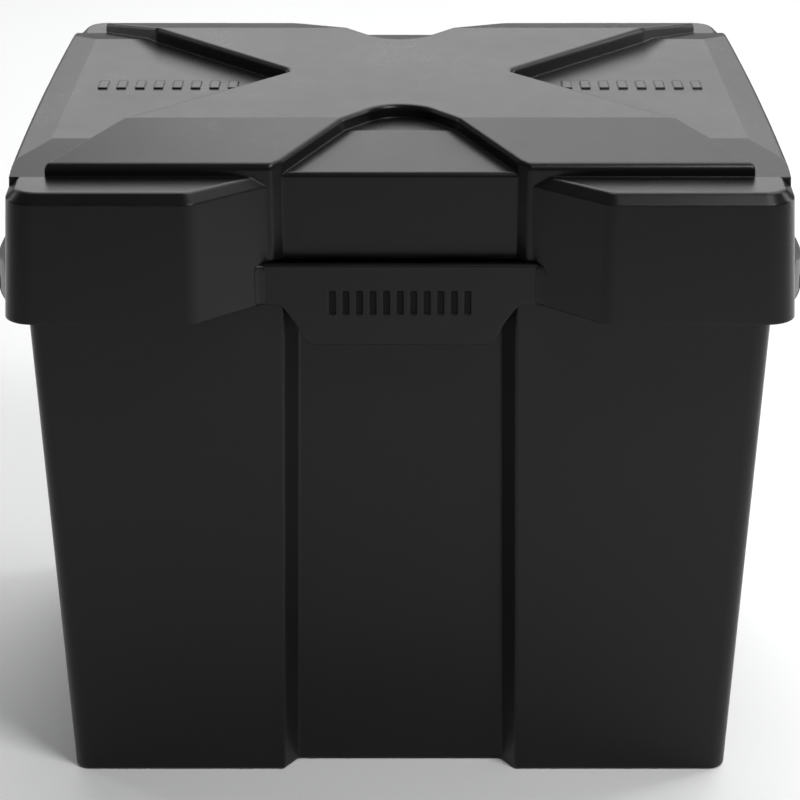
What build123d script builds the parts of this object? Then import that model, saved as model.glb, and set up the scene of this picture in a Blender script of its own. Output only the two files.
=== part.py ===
"""Battery box for one tall 6 V golf-cart battery: tapered tub, lift-off lid with two snap tabs,
two bolted carry handles and the loose fittings inside.

Millimetres, +Z up.  The origin is the middle of the base, X runs along the box and the front
faces -Y.  The lid and its tabs are drawn closed.
"""
from build123d import *
from math import cos, radians, sin, tan
import os

os.makedirs("parts", exist_ok=True)

# ------------------------------------------------------------------ driving dimensions
# Tub
tub_length = 285.2  # outside, at the base
tub_depth = 204.0  # outside, at the base
tub_draft = 2.0  # degrees, every wall leans outwards
tub_corner = 7.0  # radius of the upright corners
tub_wall = 3.0
tub_floor = 4.0
base_round = 1.5  # radius round the bottom edge
shoulder_height = 228.0  # top of the ledge below the neck
shoulder_width = 5.0  # ledge at the ends, wall face to neck
neck_height = 34.0  # neck above the shoulder

# Channel down the middle of the front and back
channel_depth = 8.6
channel_base_width = 101.4  # at the wall face, at the base
channel_side_run = 6.1  # how far each slanting side runs inwards
channel_round = 1.6

# Catch ledges for the snap tabs
catch_reach = 3.3  # out of the channel floor
catch_height = 5.0
catch_width = 18.0
catch_spacing = 50.0
catch_drop = 12.0  # top of the ledge below the shoulder
catch_chamfer = 1.5

# Lid shell
lid_wall = 3.0
skirt_overlap = 5.5  # skirt below the shoulder
skirt_gap = 2.15  # play between skirt and tub at the ends
lid_side_draft = 3.4  # degrees
pod_front_draft = 1.5
side_bow = 2.4  # middle of the end skirt bulges by this
pod_reach = 25.8  # corner pod in front of the tub wall
pod_height = 52.5
pod_corner = 12.0
pod_inner_corner = 8.0
pod_chamfer = 3.8
pod_nose = 80.6  # centre line to the pod's inner front corner
pod_root = 52.6  # centre line to where the pod leaves the front wall
front_wall_gap = 1.05  # front wall of the lid ahead of the tub wall
plateau_rise = 12.6  # plateau above the pod tops
arm_height = 6.9  # plateau above the end recesses
slope_run = 39.2  # plan length of the front and back slopes
slope_fall = 7.7
arm_inset = 12.2  # end of each arm in from the end skirt
arm_spread = 28.3  # arm end beyond the plateau corner
recess_tip = 46.5  # centre line to the tip of an end recess
recess_tip_round = 5.0
deck_shelf = 6.0  # level part of an end recess beyond the plateau
deck_front_slope_run = 33.0
deck_front_slope_fall = 5.7
deck_side_slope_run = 12.2
deck_side_slope_fall = 3.1
brow_round = 3.0  # slope into the front and back walls
edge_round = 2.0  # every other outer edge
slope_edge_round = 1.0  # sides of the front and back slopes

# Keystone pocket in the front and back of the lid
key_depth = 5.5  # below the plateau
key_front_depth = 4.0  # behind the front wall
key_peak_from_slope = 28.3  # where its two top edges would meet, behind the slope's crease
key_peak_round = 16.4
key_crease_width = 45.2
key_foot_width = 92.8
key_mouth_width = 101.4
key_flare = 4.0  # mouth carried on past the front wall
neck_gap = 3.0  # tub's neck behind the pocket's inner face
lid_front_edge = 12.0  # bottom edge of the lid's front wall above the shoulder

# Snap tabs
tab_wall = 3.0
tab_gap = 0.4  # clear of the lid all round
tab_height = 34.2
tab_shoulder_width = 95.0
tab_foot_width = 75.0
tab_corner = 4.0
tab_waist_drop = 8.4  # where the shoulders end, below the skirt's edge
tab_waist_flare = 4.0
tab_shoulder_round = 5.0
tab_waist_round = 6.0
tab_face_round = 0.8
hook_height = 4.5
hook_tip_height = 1.5
hook_clearance = 0.4  # hook below and in front of the catch ledge
groove_count = 11  # upright finger grooves in the tab's face
groove_pitch = 5.4
groove_width = 2.8
groove_height = 10.0
groove_depth = 0.5
groove_centre_drop = 16.0  # below the tab's top edge

# Lid stop ribs
stop_rib_thickness = 3.0
stop_rib_spacing = 200.0
stop_gap = 0.3

# Raised tread bars in the end recesses
bar_count = 8
bar_pitch = 8.0
bar_width = 4.0
bar_length = 11.0
bar_height = 0.6
bar_row_centre = 100.0  # from the middle of the lid

# Carry handles
handle_length = 92.0  # shroud, along the tub's end
handle_flange_length = 118.0
handle_reach_end = 18.0  # out of the wall, at the ends of the shroud
handle_bow = 8.8  # extra reach at the middle
handle_drop = 30.0  # bottom edge below the shoulder
handle_top_drop = 0.6  # top edge below the shoulder
handle_slope = 43.0  # degrees
handle_crown_reach = 6.4  # level strip before the slope starts
handle_wall = 3.2
handle_flange = 3.0
handle_round = 2.0
skirt_notch_gap = 3.0  # lid skirt above the handle
skirt_notch_side = 4.0  # lid skirt beside the handle

# Rubber grip edging on the handles
grip_height = 8.0
grip_cover = 1.8
grip_proud = 0.8

# Handle fasteners
screw_diameter = 5.0
screw_head_diameter = 9.5
screw_head_height = 2.8
screw_head_round = 1.6
screw_socket_width = 3.0  # across flats
screw_socket_depth = 1.6
screw_hole_clearance = 0.25  # radial
screw_spacing_y = 104.0
screw_spacing_z = 12.0
screw_tail = 1.5  # past the nut
nut_width = 8.0  # across flats
nut_height = 4.7
thread_clearance = 0.05  # radial
plate_thickness = 2.0
plate_margin = 5.0

# Fittings inside
mat_thickness = 3.0
mat_rib_height = 1.5
mat_rib_width = 3.0
mat_rib_pitch = 12.0
mat_gap = 2.5
mat_border = 6.0  # plain edge round the ribs
spacer_thickness = 3.0
spacer_width = 150.0
spacer_height = 176.0
spacer_rib_thickness = 3.0
spacer_rib_pitch = 60.0
spacer_gap = 0.4
battery_length = 264.0
battery_play = 0.8
trim_cover = 1.6
trim_drop = 7.0
mount_spacing_x = 200.0
mount_spacing_y = 120.0
mount_hole_diameter = 7.0
mount_clear_diameter = 20.0  # hole in the mat for the washer and driver
grommet_bore = 22.0
grommet_flange_diameter = 31.0
grommet_flange = 2.2
grommet_membrane = 1.5
grommet_spacing = 190.0
grommet_drop = 34.0  # centre below the shoulder

# ------------------------------------------------------------------ derived places
lean = tan(radians(tub_draft))


def tub_half_x(z):
    """Outer face of the tub's ends at height z."""
    return tub_length / 2 + z * lean


def tub_half_y(z):
    """Outer face of the tub's front and back at height z."""
    return tub_depth / 2 + z * lean


rim_z = shoulder_height + neck_height
skirt_z = shoulder_height - skirt_overlap
pod_top_z = skirt_z + pod_height
plateau_z = pod_top_z + plateau_rise
deck_z = plateau_z - arm_height
front_wall_y = tub_half_y(shoulder_height) + front_wall_gap
front_edge_z = shoulder_height + lid_front_edge
key_floor_y = front_wall_y - key_front_depth
neck_half_y = key_floor_y - lid_wall - neck_gap
neck_half_x = tub_half_x(shoulder_height) - shoulder_width
skirt_half_x = tub_half_x(skirt_z) + skirt_gap + lid_wall
pod_front_y = tub_half_y(skirt_z) + pod_reach
arm_end_x = skirt_half_x - (pod_top_z - skirt_z) * tan(radians(lid_side_draft)) - arm_inset
plateau_half_x = arm_end_x - arm_spread
plateau_half_y = front_wall_y - slope_run
tab_top_z = front_edge_z - tab_gap
tab_foot_z = tab_top_z - tab_height
far = 2 * tub_length  # past every face, for cuts
past = 1.0  # how far a cutter or a root runs beyond the face it meets
touch = 0.1  # two places closer than this are the same


# ------------------------------------------------------------------ tub
def tub_outline(z, inset):
    """Sharp-cornered tub outline at height z, drawn `inset` inside the outer face."""
    half_x = tub_half_x(z) - inset
    half_y = tub_half_y(z) - inset
    mouth = channel_base_width / 2 - z * lean + inset
    floor = mouth - channel_side_run
    quarter = [(half_x, half_y), (mouth, half_y), (floor, half_y - channel_depth)]
    with BuildSketch(Plane.XY.offset(z)) as outline:
        with BuildLine():
            back = quarter + [(-x, y) for x, y in reversed(quarter)]
            Polyline(*back, *[(x, -y) for x, y in reversed(back)], close=True)
        make_face()
    return outline.sketch


def tub_form(z, height, inset):
    """Drafted solid of the tub's outline, with its upright edges rounded."""
    with BuildPart() as form:
        add(tub_outline(z, inset))
        extrude(amount=height, taper=-tub_draft)
        upright = form.edges().filter_by(lambda e: abs((e @ 1 - e @ 0).Z) > height / 2)
        corners = [e for e in upright if abs(e.center().X) > channel_base_width]
        fillet(corners, tub_corner - inset / 2)
        upright = form.edges().filter_by(lambda e: abs((e @ 1 - e @ 0).Z) > height / 2)
        bends = [e for e in upright if abs(e.center().X) < channel_base_width]
        fillet(bends, channel_round)
    return form.part


catch_z = shoulder_height - catch_drop
catch_tip_y = tub_half_y(catch_z) - channel_depth + catch_reach

# The plane of the +X end wall's outer face, level with the handle's middle, local y upwards.
handle_bottom_z = shoulder_height - handle_drop
handle_top_z = shoulder_height - handle_top_drop
handle_mid_z = (handle_bottom_z + handle_top_z) / 2
end_normal = (cos(radians(tub_draft)), 0, -sin(radians(tub_draft)))
end_plane = Plane(origin=(tub_half_x(handle_mid_z), 0, handle_mid_z), x_dir=(0, 1, 0), z_dir=end_normal)

# The plane of the back wall's outer face, level with the grommets.
grommet_z = shoulder_height - grommet_drop
back_normal = (0, cos(radians(tub_draft)), -sin(radians(tub_draft)))
back_plane = Plane(origin=(0, tub_half_y(grommet_z), grommet_z), x_dir=(-1, 0, 0), z_dir=back_normal)

with BuildPart() as tub:
    add(tub_form(0, shoulder_height, 0))
    fillet(tub.faces().sort_by(Axis.Z)[0].edges(), base_round)
    with BuildSketch(Plane.XY.offset(shoulder_height - tub_wall)):
        RectangleRounded(2 * neck_half_x, 2 * neck_half_y, tub_corner)
    extrude(amount=neck_height + tub_wall)
    add(tub_form(tub_floor, shoulder_height - tub_wall - tub_floor, tub_wall), mode=Mode.SUBTRACT)
    with BuildSketch(Plane.XY.offset(rim_z)):
        RectangleRounded(
            2 * (neck_half_x - tub_wall), 2 * (neck_half_y - tub_wall), tub_corner - tub_wall / 2
        )
    extrude(amount=-neck_height - 2 * tub_wall, mode=Mode.SUBTRACT)
    # catch ledges, wedge-shaped so that the hooks ride over them
    for face in (1, -1):
        with BuildSketch(Plane.YZ):
            with BuildLine():
                Polyline(
                    (face * (catch_tip_y - catch_reach - past), catch_z),
                    (face * (catch_tip_y - catch_chamfer), catch_z),
                    (face * catch_tip_y, catch_z - catch_height + catch_chamfer),
                    (face * catch_tip_y, catch_z - catch_height),
                    (face * (catch_tip_y - catch_reach - past), catch_z - catch_height),
                    close=True,
                )
            make_face()
        extrude(amount=(catch_spacing + catch_width) / 2, both=True)
    with BuildSketch(Plane.XY.offset(catch_z - catch_height - past)):
        Rectangle(catch_spacing - catch_width, 2 * (catch_tip_y + past))
        Rectangle(catch_spacing, 2 * (catch_tip_y - catch_reach) - 6 * touch, mode=Mode.SUBTRACT)
    extrude(amount=catch_height + 2 * past, mode=Mode.SUBTRACT)
    # handle screws, both ends
    for side in (1, -1):
        flipped = end_plane if side == 1 else Plane(
            origin=(-end_plane.origin.X, 0, handle_mid_z),
            x_dir=(0, 1, 0),
            z_dir=(-end_normal[0], 0, end_normal[2]),
        )
        with BuildSketch(flipped.offset(tub_wall)):
            with GridLocations(screw_spacing_y, screw_spacing_z, 2, 2):
                Circle(screw_diameter / 2 + screw_hole_clearance)
        extrude(amount=-3 * tub_wall, mode=Mode.SUBTRACT)
    # cable holes in the back
    with BuildSketch(back_plane.offset(past)):
        with GridLocations(grommet_spacing, 0, 2, 1):
            Circle(grommet_bore / 2 + grommet_membrane)
    extrude(amount=-tub_wall - 2 * past, mode=Mode.SUBTRACT)
    # fixing holes in the floor
    with BuildSketch(Plane.XY):
        with GridLocations(mount_spacing_x, mount_spacing_y, 2, 2):
            Circle(mount_hole_diameter / 2)
    extrude(amount=tub_floor, mode=Mode.SUBTRACT)

tub.part.label = "tub"
export_step(tub.part, "parts/tub.step")


# ------------------------------------------------------------------ lid
def lid_section(z, inset):
    """Outline of the skirt and pods at height z, drawn `inset` inside the outer face."""
    half_x = skirt_half_x - (z - skirt_z) * tan(radians(lid_side_draft))
    half_y = pod_front_y - (z - skirt_z) * tan(radians(pod_front_draft))
    corners = ((half_x, -half_y), (pod_nose, -half_y), (pod_root, -front_wall_y))
    with BuildSketch(Plane.XY.offset(z)) as section:
        with BuildLine():
            for face in (1, -1):
                mirrored = [(x * side, y * face) for side in (1, -1) for x, y in corners]
                right, left = mirrored[:3], mirrored[3:]
                Polyline(*right, *reversed(left))
            for side in (1, -1):
                ThreePointArc(
                    (side * half_x, -half_y), (side * (half_x + side_bow), 0), (side * half_x, half_y)
                )
        make_face()
        outer_corners = [v for v in section.vertices() if abs(v.X) > pod_nose + past]
        fillet(outer_corners, pod_corner)
        noses = [v for v in section.vertices() if abs(abs(v.X) - pod_nose) < touch]
        fillet(noses, pod_inner_corner)
        if inset:
            offset(amount=-inset, kind=Kind.INTERSECTION)
    return section.sketch


def key_pocket(inset):
    """Keystone pocket at the front, grown by `inset` for the inside of the shell."""
    floor_z = plateau_z - key_depth - inset
    fall = slope_fall * (key_floor_y - plateau_half_y) / slope_run
    with BuildPart() as pocket:
        with BuildSketch(Plane.XY.offset(skirt_z - past)) as plan:
            with BuildLine():
                peak = (0, key_peak_from_slope - plateau_half_y)
                side = [
                    (key_crease_width / 2, -plateau_half_y),
                    (key_foot_width / 2, -key_floor_y),
                    (key_mouth_width / 2, -front_wall_y),
                    (key_mouth_width / 2 + key_flare, -front_wall_y - key_flare),
                ]
                Polyline(peak, *side, *[(-x, y) for x, y in reversed(side)], close=True)
            make_face()
            fillet(plan.vertices().sort_by(Axis.Y)[-1], key_peak_round)
            if inset:
                offset(amount=inset, kind=Kind.INTERSECTION)
        extrude(amount=far)
        with BuildSketch(Plane.YZ):
            with BuildLine():
                Polyline(
                    (0, floor_z),
                    (-plateau_half_y + inset / 4, floor_z),
                    (-key_floor_y + inset, floor_z - fall),
                    (-key_floor_y + inset, 0),
                    (-far, 0),
                    (-far, far),
                    (0, far),
                    close=True,
                )
            make_face()
        extrude(amount=far, both=True, mode=Mode.INTERSECT)
    return pocket.part


def slope_height(y):
    """Height of the front and back slopes, `y` from the middle."""
    return plateau_z - slope_fall * (y - plateau_half_y) / slope_run


def is_outer_edge(edge):
    """Whether an edge of the lid's outside takes the moulding's edge round."""
    x, y, z = abs(edge.center().X), abs(edge.center().Y), edge.center().Z
    at_plateau = abs(z - plateau_z) < touch
    at_pod_top = abs(z - pod_top_z) < touch and y > front_wall_y + key_front_depth
    at_end = y < touch and x > arm_end_x - touch and z > pod_top_z
    at_pod_root = abs(x - pod_root) < touch and abs(y - front_wall_y) < touch
    if at_plateau or at_pod_top or at_end or at_pod_root:
        return True
    in_pocket = x < key_mouth_width / 2 + touch and y > plateau_half_y - touch and z > front_edge_z
    on_rim = y > key_floor_y + key_front_depth / 2 or abs(z - slope_height(y)) < touch
    across_floor = x < touch and z < plateau_z - key_depth / 2
    return in_pocket and (on_rim or across_floor)


def is_slope_edge(edge):
    """Whether an edge runs down the side of a front or back slope."""
    x, y, z = abs(edge.center().X), abs(edge.center().Y), edge.center().Z
    beside_slope = plateau_half_y + edge_round < y < front_wall_y - brow_round
    beside_brow = front_wall_y - brow_round < y < front_wall_y + touch and z > pod_top_z + touch
    on_top = x > plateau_half_x and abs(z - slope_height(y)) < edge_round / 4
    at_arm_end = abs(x - arm_end_x) < edge_round / 2
    return (beside_slope and on_top) or (beside_brow and at_arm_end)


def lid_form(inset):
    """Solid form of the lid, drawn `inset` inside the outer faces."""
    roof_z = deck_z - inset
    deck_half_y = plateau_half_y + deck_shelf
    eave_y = deck_half_y + deck_front_slope_run
    eave_z = max(roof_z - deck_front_slope_fall, pod_top_z - inset)
    bevel = 0 if inset else pod_chamfer

    with BuildPart() as core:
        loft(sections=[lid_section(skirt_z, inset), lid_section(plateau_z, inset)], ruled=True)
        Box(far, 2 * front_wall_y, far, align=(Align.CENTER, Align.CENTER, Align.MIN), mode=Mode.INTERSECT)

    with BuildPart() as pods:
        bevel_z = pod_top_z - bevel
        loft(sections=[lid_section(skirt_z, inset), lid_section(bevel_z, inset)], ruled=True)
        if bevel:
            loft(sections=[lid_section(bevel_z, 0), lid_section(pod_top_z, bevel)], ruled=True)
        Box(far, 2 * front_wall_y, far, align=(Align.CENTER, Align.CENTER, Align.MIN), mode=Mode.SUBTRACT)

    with BuildPart() as deck:
        add(core.part)
        add(pods.part)
        with BuildSketch(Plane.YZ):
            with BuildLine():
                Polyline(
                    (-far, 0), (-far, eave_z), (-eave_y, eave_z), (-deck_half_y, roof_z),
                    (deck_half_y, roof_z), (eave_y, eave_z), (far, eave_z), (far, 0), close=True,
                )
            make_face()
        extrude(amount=far, both=True, mode=Mode.INTERSECT)
        with BuildSketch(Plane.XZ):
            with BuildLine():
                out = arm_end_x + 2 * deck_side_slope_run
                low_z = roof_z - 2 * deck_side_slope_fall
                Polyline(
                    (-out, 0), (-out, low_z), (-arm_end_x, roof_z),
                    (arm_end_x, roof_z), (out, low_z), (out, 0), close=True,
                )
            make_face()
        extrude(amount=far, both=True, mode=Mode.INTERSECT)

    with BuildPart() as arms:
        tips = ((arm_end_x, front_wall_y), (plateau_half_x, plateau_half_y), (recess_tip, 0))
        with BuildSketch(Plane.XY.offset(pod_top_z - 2 * lid_wall)) as plan:
            with BuildLine():
                front_half = [(x, -y) for x, y in tips]
                right = front_half + [(x, y) for x, y in reversed(tips[:2])]
                left = [(-x, y) for x, y in reversed(right)]
                Polyline(*right, *left, close=True)
            make_face()
            fillet([v for v in plan.vertices() if abs(v.Y) < touch], recess_tip_round)
            if inset:
                offset(amount=-inset, kind=Kind.INTERSECTION)
        extrude(amount=far)
        with BuildSketch(Plane.YZ):
            with BuildLine():
                top = plateau_z - inset
                Polyline(
                    (-front_wall_y, 0), (-front_wall_y, top - slope_fall), (-plateau_half_y, top),
                    (plateau_half_y, top), (front_wall_y, top - slope_fall), (front_wall_y, 0), close=True,
                )
            make_face()
        extrude(amount=far, both=True, mode=Mode.INTERSECT)
        if not inset:
            brows = arms.edges().filter_by(
                lambda e: e.center().Z > pod_top_z and abs(e.center().Y) > front_wall_y - touch
            ).filter_by(Axis.X)
            fillet(brows, brow_round)

    pocket = key_pocket(inset)
    with BuildPart() as joined:
        add(deck.part)
        add(arms.part)
        add(pocket, mode=Mode.SUBTRACT)
        add(pocket.mirror(Plane.XZ), mode=Mode.SUBTRACT)
        if not inset:
            fillet(joined.edges().filter_by(is_outer_edge), edge_round)
            fillet(joined.edges().filter_by(is_slope_edge), slope_edge_round)
    return joined.part


with BuildPart() as lid:
    add(lid_form(0))
    add(lid_form(lid_wall), mode=Mode.SUBTRACT)
    # the front and back walls stop short above the snap tabs
    with BuildSketch(Plane.XY.offset(skirt_z - past)):
        Rectangle(2 * pod_root, 2 * (front_wall_y + past))
        Rectangle(2 * (pod_root + 2 * lid_wall), 2 * front_wall_y)
        Rectangle(far, 2 * (key_floor_y - lid_wall - past), mode=Mode.SUBTRACT)
    extrude(amount=front_edge_z - skirt_z + past, mode=Mode.SUBTRACT)
    # the end skirts are cut away over the carry handles
    with BuildSketch(Plane.XY.offset(skirt_z - past)):
        Rectangle(far, handle_flange_length + 2 * skirt_notch_side)
        Rectangle(2 * neck_half_x, far, mode=Mode.SUBTRACT)
    extrude(amount=handle_top_z + skirt_notch_gap - skirt_z + past, mode=Mode.SUBTRACT)
    # ribs in the pods that stop the lid on the tub's shoulder
    rib_foot_z = shoulder_height + stop_gap
    rib_inner_y = neck_half_y + trim_cover + past
    rib_outer_y = pod_front_y - (pod_top_z - skirt_z) * tan(radians(pod_front_draft)) - lid_wall / 2 - past
    with BuildSketch(Plane.XY.offset(rib_foot_z)):
        for face in (1, -1):
            with Locations((0, face * (rib_inner_y + rib_outer_y) / 2)):
                with GridLocations(stop_rib_spacing, 0, 2, 1):
                    Rectangle(stop_rib_thickness, rib_outer_y - rib_inner_y)
    extrude(amount=pod_top_z - lid_wall / 2 - rib_foot_z)
    # tread bars in the end recesses
    with BuildSketch(Plane.XY.offset(deck_z - lid_wall / 2)):
        for side in (1, -1):
            with Locations((side * bar_row_centre, 0)):
                with GridLocations(bar_pitch, 0, bar_count, 1):
                    Rectangle(bar_width, bar_length)
    extrude(amount=lid_wall / 2 + bar_height)

lid.part.label = "lid"
export_step(lid.part, "parts/lid.step")

# ------------------------------------------------------------------ snap tabs
tab_back_y = front_wall_y
tab_front_y = tab_back_y + tab_wall
pod_wall_flare = (pod_nose - pod_root) / (pod_front_y - front_wall_y)
tab_half_back = pod_root - tab_gap * 1.5
tab_half_front = tab_half_back + tab_wall * pod_wall_flare
tab_waist = tab_foot_width / 2 + tab_waist_flare
tab_waist_z = skirt_z - tab_waist_drop
tab_face_plane = Plane.XZ.offset(tab_front_y)
hook_tip_y = catch_tip_y + hook_clearance
hook_top_z = catch_z - catch_height - hook_clearance
hook_root_y = tab_back_y + tab_wall / 2

with BuildPart() as front_tab:
    with BuildSketch(Plane.XZ.offset(tab_back_y)) as face_outline:
        with BuildLine():
            Polyline(
                (-tab_half_front, tab_top_z), (tab_half_front, tab_top_z), (tab_half_front, skirt_z),
                (tab_shoulder_width / 2, skirt_z), (tab_waist, tab_waist_z),
                (tab_foot_width / 2, tab_foot_z), (-tab_foot_width / 2, tab_foot_z),
                (-tab_waist, tab_waist_z), (-tab_shoulder_width / 2, skirt_z),
                (-tab_half_front, skirt_z), close=True,
            )
        make_face()
        fillet(face_outline.vertices().group_by(Axis.Y)[0], tab_corner)
        shoulders = [v for v in face_outline.vertices() if abs(abs(v.X) - tab_shoulder_width / 2) < touch]
        waists = [v for v in face_outline.vertices() if abs(v.Y - tab_waist_z) < touch]
        fillet(shoulders, tab_shoulder_round)
        fillet(waists, tab_waist_round)
    extrude(amount=tab_wall)
    # the ends follow the receding walls of the pods
    with BuildSketch(Plane.XY.offset(tab_foot_z - past)):
        with BuildLine():
            Polyline(
                (-tab_half_back, -tab_back_y), (tab_half_back, -tab_back_y), (tab_half_front, -tab_front_y),
                (-tab_half_front, -tab_front_y), close=True,
            )
        make_face()
    extrude(amount=tab_height + 2 * past, mode=Mode.INTERSECT)
    front_edges = front_tab.faces().sort_by(Axis.Y)[0].edges()
    fillet([e for e in front_edges if abs(e.center().X) < tab_half_back], tab_face_round)
    with BuildSketch(tab_face_plane):
        with Locations((0, tab_top_z - groove_centre_drop)):
            with GridLocations(groove_pitch, 0, groove_count, 1):
                RectangleRounded(groove_width, groove_height, groove_width / 4)
    extrude(amount=-groove_depth, mode=Mode.SUBTRACT)
    # two hooks reach back below the tub's catch ledges
    with BuildSketch(Plane.YZ):
        with BuildLine():
            Polyline(
                (-hook_root_y, hook_top_z), (-hook_tip_y, hook_top_z),
                (-hook_tip_y, hook_top_z - hook_tip_height), (-hook_root_y, hook_top_z - hook_height),
                close=True,
            )
        make_face()
    extrude(amount=(catch_spacing + catch_width) / 2 - past, both=True)
    with BuildSketch(Plane.XY.offset(tab_foot_z - past)):
        with Locations((0, past - tab_back_y)):
            Rectangle(
                catch_spacing - catch_width + 2 * past, tab_back_y - hook_tip_y + 2 * past,
                align=(Align.CENTER, Align.MIN),
            )
        with Locations((0, past - tab_back_y)):
            Rectangle(far, 2 * past, align=(Align.CENTER, Align.MAX), mode=Mode.SUBTRACT)
    extrude(amount=tab_height, mode=Mode.SUBTRACT)

front_tab.part.label = "front_snap_tab"
export_step(front_tab.part, "parts/front_snap_tab.step")

with BuildPart() as rear_tab:
    add(front_tab.part.rotate(Axis.Z, 180))

rear_tab.part.label = "rear_snap_tab"
export_step(rear_tab.part, "parts/rear_snap_tab.step")


# ------------------------------------------------------------------ carry handles
wall_bottom_x = tub_half_x(handle_bottom_z)
wall_top_x = tub_half_x(handle_top_z)
handle_end_x = tub_half_x(handle_mid_z) + handle_reach_end
handle_bow_x = handle_end_x + handle_bow
slope_drop = tan(radians(handle_slope))


def handle_form(inset, floor_z):
    """Shroud of the +X handle: sloping top, bowed outer face, drawn `inset` inside."""
    crown_x = wall_top_x + handle_crown_reach - inset / 2
    top_z = handle_top_z - inset
    out_x = handle_bow_x + past
    with BuildPart() as shroud:
        with BuildSketch(Plane.XZ):
            with BuildLine():
                Polyline(
                    (wall_bottom_x + inset, floor_z), (out_x, floor_z),
                    (out_x, top_z - (out_x - crown_x) * slope_drop), (crown_x, top_z),
                    (wall_top_x + inset, top_z), close=True,
                )
            make_face()
        extrude(amount=handle_length / 2 - inset, both=True)
        with BuildSketch(Plane.XY.offset(floor_z - past)):
            half = handle_length / 2
            with BuildLine():
                Polyline((handle_end_x, half), (0, half), (0, -half), (handle_end_x, -half))
                ThreePointArc((handle_end_x, -half), (handle_bow_x, 0), (handle_end_x, half))
            make_face()
            if inset:
                offset(amount=-inset, kind=Kind.INTERSECTION)
        extrude(amount=far, mode=Mode.INTERSECT)
    return shroud.part


with BuildPart() as right_handle:
    add(handle_form(0, handle_bottom_z))
    ridges = right_handle.edges().filter_by(
        lambda e: e.center().X > wall_top_x + past and e.center().Z > handle_bottom_z + past
    )
    fillet(ridges, handle_round)
    with BuildSketch(end_plane):
        RectangleRounded(handle_flange_length, handle_top_z - handle_bottom_z - 2 * past, plate_margin / 2)
    extrude(amount=handle_flange)
    add(handle_form(handle_wall, handle_bottom_z - past), mode=Mode.SUBTRACT)
    with BuildSketch(end_plane.offset(-past)):
        with GridLocations(screw_spacing_y, screw_spacing_z, 2, 2):
            Circle(screw_diameter / 2 + screw_hole_clearance)
    extrude(amount=handle_flange + 3 * past, mode=Mode.SUBTRACT)

grip_out_x = handle_end_x + grip_proud
grip_in_x = handle_end_x - handle_wall - grip_cover
with BuildPart() as right_grip:
    with BuildSketch(Plane.XY.offset(handle_bottom_z - grip_cover)):
        half = handle_length / 2 - handle_wall - past
        with BuildLine():
            ThreePointArc((grip_out_x, -half), (grip_out_x + handle_bow, 0), (grip_out_x, half))
            Line((grip_out_x, half), (grip_in_x, half))
            ThreePointArc((grip_in_x, half), (grip_in_x + handle_bow, 0), (grip_in_x, -half))
            Line((grip_in_x, -half), (grip_out_x, -half))
        make_face()
    extrude(amount=grip_height)
    add(right_handle.part, mode=Mode.SUBTRACT)

with BuildPart() as right_screws:
    head_seat = end_plane.offset(handle_flange)
    shank = handle_flange + tub_wall + plate_thickness + nut_height + screw_tail
    with BuildSketch(head_seat):
        with GridLocations(screw_spacing_y, screw_spacing_z, 2, 2):
            Circle(screw_head_diameter / 2)
    extrude(amount=screw_head_height)
    fillet(right_screws.faces().filter_by(head_seat).group_by(Axis.X)[-1].edges(), screw_head_round)
    with BuildSketch(head_seat.offset(screw_head_height)):
        with GridLocations(screw_spacing_y, screw_spacing_z, 2, 2):
            RegularPolygon(screw_socket_width / 2, 6, major_radius=False)
    extrude(amount=-screw_socket_depth, mode=Mode.SUBTRACT)
    with BuildSketch(head_seat):
        with GridLocations(screw_spacing_y, screw_spacing_z, 2, 2):
            Circle(screw_diameter / 2)
    extrude(amount=-shank)

with BuildPart() as right_plate:
    with BuildSketch(end_plane.offset(-tub_wall)):
        RectangleRounded(
            screw_spacing_y + 2 * plate_margin, screw_spacing_z + 2 * plate_margin, plate_margin / 2
        )
        with GridLocations(screw_spacing_y, screw_spacing_z, 2, 2):
            Circle(screw_diameter / 2 + screw_hole_clearance, mode=Mode.SUBTRACT)
    extrude(amount=-plate_thickness)

with BuildPart() as right_nuts:
    with BuildSketch(end_plane.offset(-tub_wall - plate_thickness)):
        with GridLocations(screw_spacing_y, screw_spacing_z, 2, 2):
            RegularPolygon(nut_width / 2, 6, major_radius=False)
            Circle(screw_diameter / 2 + thread_clearance, mode=Mode.SUBTRACT)
    extrude(amount=-nut_height)

# ------------------------------------------------------------------ spacers at the battery's ends
spacer_face_x = battery_length / 2 + battery_play
spacer_foot_z = tub_floor + mat_thickness
spacer_top_z = spacer_foot_z + spacer_height


def spacer_rib_x(z):
    """Outer edge of the spacer's ribs at height z."""
    return tub_half_x(z) - tub_wall - spacer_gap


spacer_depth = spacer_rib_x(spacer_top_z) - spacer_face_x
with BuildPart() as right_spacer:
    with BuildSketch(Plane.XY.offset(spacer_foot_z)):
        with Locations((spacer_face_x + spacer_thickness / 2, 0)):
            Rectangle(spacer_thickness, spacer_width)
    extrude(amount=spacer_height)
    with BuildSketch(Plane.XZ):
        with BuildLine():
            Polyline(
                (spacer_face_x, spacer_foot_z), (spacer_rib_x(spacer_foot_z), spacer_foot_z),
                (spacer_rib_x(spacer_top_z), spacer_top_z), (spacer_face_x, spacer_top_z), close=True,
            )
        make_face()
    extrude(amount=spacer_width / 2, both=True)
    # what stays behind the plate is three upright ribs
    with BuildSketch(Plane.XY.offset(spacer_foot_z - past)):
        with Locations((spacer_face_x + spacer_thickness + spacer_depth / 2, 0)):
            for spread in (spacer_rib_pitch, 3 * spacer_rib_pitch):
                with GridLocations(0, spread, 1, 2):
                    Rectangle(spacer_depth, spacer_rib_pitch - spacer_rib_thickness)
    extrude(amount=spacer_height + 2 * past, mode=Mode.SUBTRACT)

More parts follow.
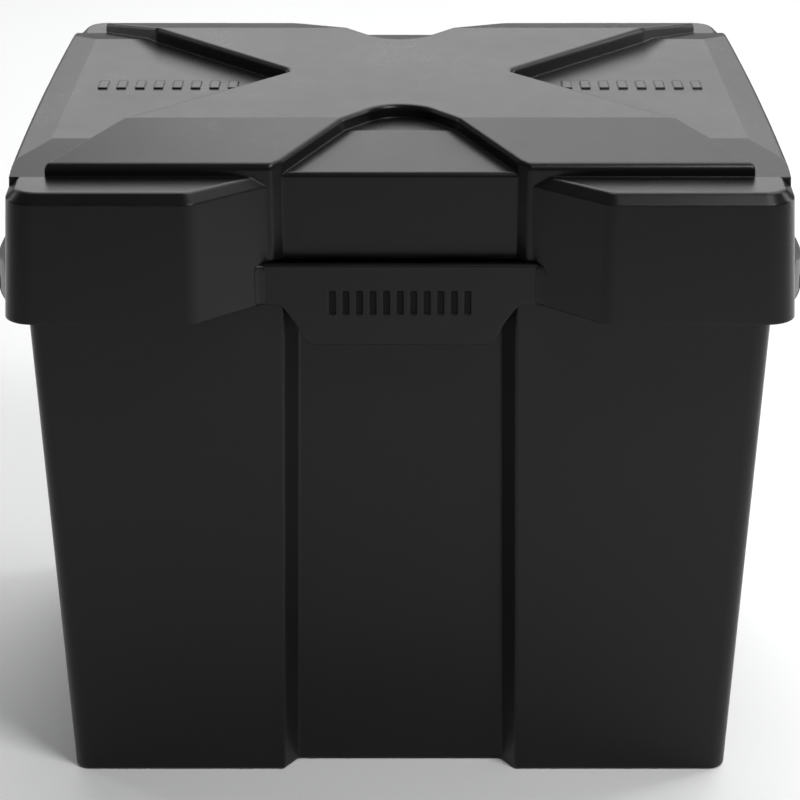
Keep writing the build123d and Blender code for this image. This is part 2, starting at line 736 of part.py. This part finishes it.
end_pieces = {
    "handle": right_handle,
    "grip_pad": right_grip,
    "handle_screws": right_screws,
    "backing_plate": right_plate,
    "lock_nuts": right_nuts,
    "spacer": right_spacer,
}
for kind, piece in end_pieces.items():
    piece.part.label = "right_" + kind
    export_step(piece.part, "parts/right_" + kind + ".step")
    with BuildPart() as left_piece:
        add(mirror(piece.part, about=Plane.YZ, mode=Mode.PRIVATE))
    left_piece.part.label = "left_" + kind
    export_step(left_piece.part, "parts/left_" + kind + ".step")

# ------------------------------------------------------------------ floor mat
with BuildPart() as floor_mat:
    with BuildSketch(Plane.XY.offset(tub_floor)):
        add(tub_outline(0, tub_wall + mat_gap))
        with GridLocations(mount_spacing_x, mount_spacing_y, 2, 2):
            Circle(mount_clear_diameter / 2, mode=Mode.SUBTRACT)
    extrude(amount=mat_thickness)
    valley_count = int(battery_length / mat_rib_pitch) - 1
    valley_length = tub_depth - 2 * (tub_wall + mat_gap + channel_depth + mat_border)
    with BuildSketch(Plane.XY.offset(tub_floor + mat_thickness)):
        with GridLocations(mat_rib_pitch, 0, valley_count, 1):
            Rectangle(mat_rib_pitch - mat_rib_width, valley_length)
    extrude(amount=-mat_rib_height, mode=Mode.SUBTRACT)

floor_mat.part.label = "floor_mat"
export_step(floor_mat.part, "parts/floor_mat.step")

# ------------------------------------------------------------------ edging on the tub's rim
with BuildPart() as rim_trim:
    with BuildSketch(Plane.XY.offset(rim_z - trim_drop)):
        RectangleRounded(
            2 * (neck_half_x + trim_cover), 2 * (neck_half_y + trim_cover), tub_corner + trim_cover
        )
        RectangleRounded(
            2 * (neck_half_x - tub_wall - trim_cover), 2 * (neck_half_y - tub_wall - trim_cover),
            tub_corner - tub_wall / 2 - trim_cover, mode=Mode.SUBTRACT,
        )
    extrude(amount=trim_drop + trim_cover)
    fillet(rim_trim.faces().sort_by(Axis.Z)[-1].edges(), trim_cover * 0.7)
    with BuildSketch(Plane.XY.offset(rim_z - trim_drop)):
        RectangleRounded(2 * neck_half_x, 2 * neck_half_y, tub_corner)
        RectangleRounded(
            2 * (neck_half_x - tub_wall), 2 * (neck_half_y - tub_wall), tub_corner - tub_wall / 2,
            mode=Mode.SUBTRACT,
        )
    extrude(amount=trim_drop, mode=Mode.SUBTRACT)

rim_trim.part.label = "rim_trim"
export_step(rim_trim.part, "parts/rim_trim.step")

# ------------------------------------------------------------------ blind grommets in the cable holes
for name, side in (("right", 1), ("left", -1)):
    hole_plane = Plane(
        origin=(side * grommet_spacing / 2, tub_half_y(grommet_z), grommet_z),
        x_dir=(-1, 0, 0),
        z_dir=back_normal,
    )
    profile_plane = Plane(origin=hole_plane.origin, x_dir=(-1, 0, 0), z_dir=hole_plane.y_dir)
    neck_radius = grommet_bore / 2 + grommet_membrane
    flange_radius = grommet_flange_diameter / 2
    with BuildPart() as grommet:
        with BuildSketch(hole_plane.offset(-tub_wall - grommet_flange)):
            Circle(flange_radius)
        extrude(amount=grommet_flange)
        with BuildSketch(hole_plane.offset(-tub_wall)):
            Circle(neck_radius)
        extrude(amount=tub_wall)
        with BuildSketch(hole_plane):
            Circle(flange_radius)
        extrude(amount=grommet_flange)
        fillet(grommet.edges().filter_by(GeomType.CIRCLE).sort_by(Axis.Y)[-1], grommet_flange * 0.6)
        with BuildSketch(hole_plane.offset(grommet_flange)):
            Circle(grommet_bore / 2)
        extrude(amount=-grommet_flange - (tub_wall - grommet_membrane) / 2, mode=Mode.SUBTRACT)
        with BuildSketch(hole_plane.offset(-tub_wall - grommet_flange)):
            Circle(grommet_bore / 2)
        extrude(amount=grommet_flange + (tub_wall - grommet_membrane) / 2, mode=Mode.SUBTRACT)
    grommet.part.label = name + "_cable_grommet"
    export_step(grommet.part, "parts/" + name + "_cable_grommet.step")
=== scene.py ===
from math import radians

import bmesh
import bpy
from mathutils import Matrix, Vector


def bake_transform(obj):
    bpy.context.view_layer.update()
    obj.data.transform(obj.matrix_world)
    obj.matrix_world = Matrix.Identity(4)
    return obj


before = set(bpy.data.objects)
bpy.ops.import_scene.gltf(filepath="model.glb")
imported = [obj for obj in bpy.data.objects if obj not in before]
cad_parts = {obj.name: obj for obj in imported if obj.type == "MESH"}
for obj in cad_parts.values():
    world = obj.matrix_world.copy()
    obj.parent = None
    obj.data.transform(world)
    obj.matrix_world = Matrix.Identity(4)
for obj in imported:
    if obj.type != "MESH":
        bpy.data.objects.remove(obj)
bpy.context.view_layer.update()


# ---------------------------------------------------------------- shader maths
class Wire:
    """One socket of a node tree, with arithmetic that adds the Math nodes."""

    def __init__(self, tree, socket):
        self.tree = tree
        self.socket = socket

    def node(self, kind, settings=None, out=0, **inputs):
        """Add a node: its settings, then its sockets by name, or by number as i0, i1."""
        made = self.tree.nodes.new(kind)
        for name, value in (settings or {}).items():
            setattr(made, name, value)
        for name, value in inputs.items():
            index = int(name[1:]) if name[1:].isdigit() else name.replace("_", " ")
            if isinstance(value, Wire):
                self.tree.links.new(value.socket, made.inputs[index])
            else:
                made.inputs[index].default_value = value
        return Wire(self.tree, made.outputs[out])

    def output(self, name):
        """Another output of the node that this wire comes from."""
        return Wire(self.tree, self.socket.node.outputs[name])

    def maths(self, operation, *values, clamp=False):
        sockets = {f"i{n}": value for n, value in enumerate(values)}
        return self.node("ShaderNodeMath", {"operation": operation, "use_clamp": clamp}, **sockets)

    def __add__(self, other):
        return self.maths("ADD", self, other)

    def __mul__(self, other):
        return self.maths("MULTIPLY", self, other)

    def __sub__(self, other):
        return self.maths("SUBTRACT", self, other)

    def __rsub__(self, other):
        return self.maths("SUBTRACT", other, self)

    def __abs__(self):
        return self.maths("ABSOLUTE", self)

    def clamp(self):
        return self.maths("ADD", self, 0.0, clamp=True)

    def band(self, low, high):
        """0 below low, 1 above high, smooth between."""
        return self.node(
            "ShaderNodeMapRange",
            {"interpolation_type": "SMOOTHSTEP"},
            i0=self, i1=low, i2=high, i3=0.0, i4=1.0,
        )

    def tint(self, dark, light):
        """Mix two colours by this value."""
        return self.node(
            "ShaderNodeMix", {"data_type": "RGBA"}, out=2, i0=self, i6=rgba(dark), i7=rgba(light)
        )


def rgba(colour):
    return (*colour, 1.0)


class Finish:
    """A material being made: its object coordinates, its shader and the links into it."""

    def __init__(self, name, **shader_constants):
        self.material = bpy.data.materials.new(name)
        self.material.use_nodes = True
        tree = self.material.node_tree
        self.shader = tree.nodes["Principled BSDF"]
        for socket, value in shader_constants.items():
            self.shader.inputs[socket.replace("_", " ")].default_value = value
        start = tree.nodes.new("ShaderNodeTexCoord")
        self.at = Wire(tree, start.outputs["Object"])
        self.tree = tree

    def node(self, *args, **kwargs):
        return self.at.node(*args, **kwargs)

    def stretched(self, x, y, z, turn=(0.0, 0.0, 0.0)):
        """Object coordinates turned, then scaled along each axis."""
        turned = self.node(
            "ShaderNodeVectorRotate", {"rotation_type": "EULER_XYZ"}, Vector=self.at, Rotation=turn
        )
        return self.node(
            "ShaderNodeMapping", {"vector_type": "POINT"}, Vector=turned, Scale=(x, y, z)
        )

    def noise(self, size, detail=2.0, rough=0.5, at=None, distortion=0.0):
        """Cloudy noise whose lumps are about `size` metres across."""
        return self.node(
            "ShaderNodeTexNoise", {"noise_dimensions": "3D"},
            Vector=at or self.at, Scale=1.0 / size,
            Detail=detail, Roughness=rough, Distortion=distortion,
        )

    def cells(self, size, feature="F1"):
        """Pebbles about `size` metres across."""
        return self.node(
            "ShaderNodeTexVoronoi", {"feature": feature}, Vector=self.at, Scale=1.0 / size
        )

    def feed(self, **wires):
        """Link wires into the shader's sockets and hand back the material."""
        for socket, wire in wires.items():
            self.tree.links.new(wire.socket, self.shader.inputs[socket.replace("_", " ")])
        return self.material

    def edges(self, radius, samples=6):
        """Normal that rounds every edge by `radius`."""
        return self.node("ShaderNodeBevel", {"samples": samples}, Radius=radius)

    def bump(self, height, distance, strength, under):
        """Normal that raises `height` by `distance` metres over the rounded edges."""
        return self.node(
            "ShaderNodeBump", {}, Height=height, Distance=distance, Strength=strength, Normal=under
        )


# ---------------------------------------------------------------- finishes
# Finger grooves of a snap tab, in metres; each pair fades from its first value to its second
GROOVES_Z = 0.2236
GROOVE_ROW_END = (0.0290, 0.0293)
GROOVE_HALF_HEIGHT = (0.0051, 0.0053)
GROOVE_FLOOR_FRONT = (0.11382, 0.11394)
GROOVE_FLOOR_BACK = (0.1120, 0.1125)

# Hairline scratches: width, stretch along their length, and what is kept of the noise
HAIR_WIDTH = 0.00035
HAIR_STRETCH = 0.018
HAIR_LEVEL = (0.70, 0.76)
HAIR_TURN = (0.0, 0.7, 0.5)
HAIR_SPACING = 0.05
HAIR_PATCH = (0.54, 0.66)


def scratches(finish):
    """Mask of a few long hairlines in one direction."""
    lines = finish.noise(
        HAIR_WIDTH, detail=1.0, at=finish.stretched(1.0, HAIR_STRETCH, HAIR_STRETCH, HAIR_TURN)
    )
    patch = finish.noise(HAIR_SPACING, detail=1.0, at=finish.stretched(1.0, 1.0, 1.0, HAIR_TURN))
    return lines.band(*HAIR_LEVEL) * patch.band(*HAIR_PATCH)


def groove_mask(finish):
    """1 inside the finger grooves of a snap tab, 0 elsewhere."""
    place = finish.node("ShaderNodeSeparateXYZ", {}, Vector=finish.at)
    across = abs(place.output("X"))
    deep = abs(place.output("Y"))
    up = abs(place.output("Z") - GROOVES_Z)
    in_row = 1.0 - across.band(*GROOVE_ROW_END)
    in_height = 1.0 - up.band(*GROOVE_HALF_HEIGHT)
    behind_face = 1.0 - deep.band(*GROOVE_FLOOR_FRONT)
    before_back = deep.band(*GROOVE_FLOOR_BACK)
    return in_row * in_height * behind_face * before_back


def moulded(name, colour, gloss, grain=0.00042, edge=0.0011, grooves=False):
    """Black moulded polypropylene: etched grain, flow clouds, scratches, and painted highlights
    (paler colour) on the rounded edges.
    """
    depth = 0.000035
    # Strength of the pale scratches (real wear) and of the painted edge highlight.
    wear_and_highlight = 0.35
    finish = Finish(name, IOR=1.49, Specular_IOR_Level=0.27)
    pebble = finish.cells(grain, "SMOOTH_F1")
    fine = finish.noise(grain * 0.45, detail=3.0, rough=0.65)
    clouds = finish.noise(0.055, detail=4.0, rough=0.55)
    patches = finish.noise(0.012, detail=5.0, rough=0.6, distortion=0.6)
    hairs = scratches(finish)
    rounded = finish.edges(edge)
    flat = finish.node("ShaderNodeNewGeometry", out="Normal")
    turned = finish.node(
        "ShaderNodeVectorMath", {"operation": "DOT_PRODUCT"}, out=1, i0=rounded, i1=flat
    )
    # Painted highlight: rounded edges are made paler in colour and a little glossier, in random
    # patches.
    edge_highlight = (1.0 - turned).band(0.004, 0.09) * patches.band(0.35, 0.7)
    height = pebble * 0.6 + fine * 0.5 - hairs * 0.12
    tone = (clouds * 0.5 + patches * 0.3 + hairs * 0.8 * wear_and_highlight + edge_highlight * wear_and_highlight).clamp()
    pale = tuple(min(1.0, c * 1.7 + 0.0015) for c in colour)
    shine = clouds * 0.09 + patches * 0.07 - hairs * 0.03 - edge_highlight * 0.06 + (gloss - 0.08)
    if grooves:
        # Painted shade in the finger grooves: their colour is held at the darkest tone of the
        # plastic, and they are made matt.
        groove_painted_shade = groove_mask(finish)
        tone = (tone * (1.0 - groove_painted_shade)).clamp()
        shine = shine + groove_painted_shade * 0.6
    return finish.feed(
        Base_Color=tone.tint(colour, pale),
        Roughness=shine.clamp(),
        Normal=finish.bump(height, depth, 0.8, under=rounded),
    )


def rubber(name):
    """Matt black rubber with a dusty bloom."""
    dark = (0.013, 0.013, 0.013)
    dusty = tuple(c * 2.6 for c in dark)
    finish = Finish(name, Specular_IOR_Level=0.32)
    speck = finish.noise(0.0005, detail=3.0, rough=0.7)
    bloom = finish.noise(0.018, detail=4.0, rough=0.6)
    return finish.feed(
        Base_Color=(bloom * 0.7 + speck * 0.2).clamp().tint(dark, dusty),
        Roughness=(bloom * 0.16 + 0.66).clamp(),
        Normal=finish.bump(speck, 0.00004, 0.8, under=finish.edges(0.0006)),
    )


def plated_steel(name):
    """Zinc-plated sheet: soft spangle, faint rolling marks and a few dull stains."""
    dull, clean = (0.42, 0.42, 0.40), (0.62, 0.62, 0.61)
    finish = Finish(name, Metallic=1.0)
    spangle = finish.cells(0.006)
    grain = finish.noise(0.0004, detail=2.0, at=finish.stretched(1.0, 0.04, 1.0))
    stain = finish.noise(0.02, detail=5.0, rough=0.65)
    return finish.feed(
        Base_Color=(spangle * 3.0 + stain * 0.5).clamp().tint(dull, clean),
        Roughness=(stain * 0.22 + grain * 0.12 + 0.2).clamp(),
        Normal=finish.bump(grain, 0.00002, 0.6, under=finish.edges(0.0004)),
    )


def turned_steel(name):
    """Stainless screw stock with fine turning marks."""
    finish = Finish(name, Metallic=1.0)
    grain = finish.noise(0.00018, detail=3.0, rough=0.6)
    smear = finish.noise(0.004, detail=3.0)
    return finish.feed(
        Base_Color=smear.tint((0.50, 0.50, 0.49), (0.68, 0.68, 0.66)),
        Roughness=(smear * 0.2 + grain * 0.15 + 0.14).clamp(),
        Normal=finish.bump(grain, 0.00001, 0.5, under=finish.edges(0.0005)),
    )


def dress(material, *nodes):
    """Put a finish on CAD nodes."""
    for name in nodes:
        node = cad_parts[name]
        node.data.materials.clear()
        node.data.materials.append(material)


POLYPROPYLENE = (0.0030, 0.0030, 0.0032)

tub_black = moulded("tub grained black", POLYPROPYLENE, gloss=0.33)
lid_black = moulded("lid grained black", POLYPROPYLENE, gloss=0.29)
tab_black = moulded("tab grained black", POLYPROPYLENE, gloss=0.29, grooves=True)
handle_black = moulded("handle grained black", (0.004, 0.004, 0.004), gloss=0.36, grain=0.0006)
spacer_grey = moulded("spacer dark grey", (0.035, 0.035, 0.037), gloss=0.5, edge=0.0006)
soft_rubber = rubber("soft black rubber")
zinc = plated_steel("zinc plated steel")
stainless = turned_steel("stainless steel")

dress(tub_black, "tub")
dress(lid_black, "lid")
dress(tab_black, "front_snap_tab", "rear_snap_tab")
dress(handle_black, "left_handle", "right_handle")
dress(spacer_grey, "left_spacer", "right_spacer")
dress(
    soft_rubber, "left_grip_pad", "right_grip_pad", "floor_mat", "rim_trim",
    "left_cable_grommet", "right_cable_grommet",
)
dress(zinc, "left_backing_plate", "right_backing_plate", "left_lock_nuts", "right_lock_nuts")
dress(stainless, "left_handle_screws", "right_handle_screws")


# ---------------------------------------------------------------- hinge webs
WALL_CORNER = Vector((0.0560, -0.1140))  # where a pod's inner wall meets the tab's face
WALL_RUN = Vector((0.7512, -0.6600))  # along the pod's wall, outwards
WEB_ROUND = 0.0060
WEB_TANGENT = 0.00226  # from the corner to each rim of the round
WEB_ROOT = 0.0007  # how far the web is buried at its two rims
WEB_PROUD = 0.00003  # how far the rims stand off the plastic
WEB_HEEL = Vector((0.0004, 0.0006))  # buried point behind the corner
WEB_LOW, WEB_HIGH = 0.2226, 0.2394
WEB_THINNING = 0.35  # share of its thickness lost at each end
WEB_TOP_TAPER, WEB_FOOT_TAPER = 0.15, 0.12  # shares of its height that thin out


def web_section(steps=12):
    """Outline of a web in plan: a concave arc in front, buried rims and a heel behind."""
    plate_rim = WALL_CORNER - Vector((WEB_TANGENT, WEB_PROUD))
    wall_rim = WALL_CORNER + WALL_RUN * WEB_TANGENT - Vector((WEB_PROUD, WEB_PROUD))
    centre = plate_rim - Vector((0.0, WEB_ROUND))
    first = (plate_rim - centre).angle_signed(wall_rim - centre)
    arc = []
    for n in range(steps + 1):
        turned = (plate_rim - centre).copy()
        turned.rotate(Matrix.Rotation(-first * n / steps, 2))
        arc.append(centre + turned)
    arc[-1] = wall_rim
    heel = WALL_CORNER + WEB_HEEL
    buried_wall = wall_rim + Vector((WEB_ROOT, WEB_ROOT))
    buried_plate = plate_rim + Vector((0.0, WEB_ROOT))
    return arc + [buried_wall, heel, buried_plate]


def hinge_web(name, side, face, rows=14):
    """Thin moulded web that joins one end of a snap tab to the pod beside it."""
    outline = web_section()
    count = len(outline)
    made = bmesh.new()
    rings = []
    for row in range(rows + 1):
        share = row / rows
        z = WEB_LOW + (WEB_HIGH - WEB_LOW) * share
        top = max(0.0, share - (1.0 - WEB_TOP_TAPER)) / WEB_TOP_TAPER
        foot = max(0.0, WEB_FOOT_TAPER - share) / WEB_FOOT_TAPER
        thickness = 1.0 - WEB_THINNING * (top + foot)
        ring = []
        for point in outline:
            flat = WALL_CORNER + (point - WALL_CORNER) * thickness
            ring.append(made.verts.new((side * flat.x, face * flat.y, z)))
        rings.append(ring)
    for low, high in zip(rings, rings[1:]):
        for n in range(count):
            m = (n + 1) % count
            made.faces.new((low[n], low[m], high[m], high[n]))
    made.faces.new(rings[0])
    made.faces.new(rings[-1])
    bmesh.ops.recalc_face_normals(made, faces=made.faces)
    mesh = bpy.data.meshes.new(name)
    made.to_mesh(mesh)
    made.free()
    for polygon in mesh.polygons:
        polygon.use_smooth = len(polygon.vertices) == 4
    mesh.materials.append(lid_black)
    web = bpy.data.objects.new(name, mesh)
    bpy.context.collection.objects.link(web)
    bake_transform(web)


for end, face in (("front", 1), ("rear", -1)):
    for hand, side in (("right", 1), ("left", -1)):
        hinge_web(f"{end}_{hand}_web", side, face)


# ---------------------------------------------------------------- studio
def floor():
    """Seamless pale sweep under the box."""
    half = 6.0
    mesh = bpy.data.meshes.new("studio_floor")
    mesh.from_pydata(
        [(-half, -half, 0), (half, -half, 0), (half, half, 0), (-half, half, 0)], [], [(0, 1, 2, 3)]
    )
    sweep = bpy.data.objects.new("studio_floor", mesh)
    bpy.context.collection.objects.link(sweep)
    finish = Finish("studio paper", Specular_IOR_Level=0.1)
    cloud = finish.noise(0.3, detail=2.0)
    mesh.materials.append(
        finish.feed(
            Base_Color=cloud.tint((0.86, 0.86, 0.86), (0.90, 0.90, 0.90)),
            Roughness=cloud * 0.1 + 0.8,
        )
    )


def softbox(name, place, aim, width, height, power):
    """Rectangular light at `place`, turned towards `aim`."""
    light = bpy.data.lights.new(name, "AREA")
    light.shape = "RECTANGLE"
    light.size, light.size_y, light.energy = width, height, power
    lamp = bpy.data.objects.new(name, light)
    lamp.location = place
    lamp.rotation_euler = (Vector(aim) - Vector(place)).to_track_quat("-Z", "Y").to_euler()
    bpy.context.collection.objects.link(lamp)


floor()
middle = (0.0, 0.0, 0.15)
softbox("back_wash", (0.0, 2.2, 1.35), middle, 3.4, 1.5, 29.0)
softbox("overhead", (0.35, 0.75, 1.75), middle, 1.8, 1.3, 22.0)
softbox("front_pool", (0.48, -0.62, 1.1), (0.46, -0.58, 0.0), 0.40, 0.30, 9.5)
softbox("right_strip", (1.45, 0.55, 0.6), middle, 0.30, 1.1, 8.0)
softbox("left_strip", (-1.45, 0.75, 0.6), middle, 0.25, 1.1, 3.5)

world = bpy.data.worlds.new("studio")
world.use_nodes = True
sky = world.node_tree.nodes["Background"]
sky.inputs["Color"].default_value = (0.9, 0.92, 0.95, 1.0)
sky.inputs["Strength"].default_value = 0.12
bpy.context.scene.world = world
bpy.context.scene.view_settings.view_transform = "Standard"

camera_data = bpy.data.cameras.new("camera")
camera_data.lens = 110.35
camera = bpy.data.objects.new("camera", camera_data)
camera.location = (0.0, -1.02855, 0.5715)
camera.rotation_euler = (radians(66.9), 0.0, 0.0)
bpy.context.collection.objects.link(camera)
bpy.context.scene.camera = camera
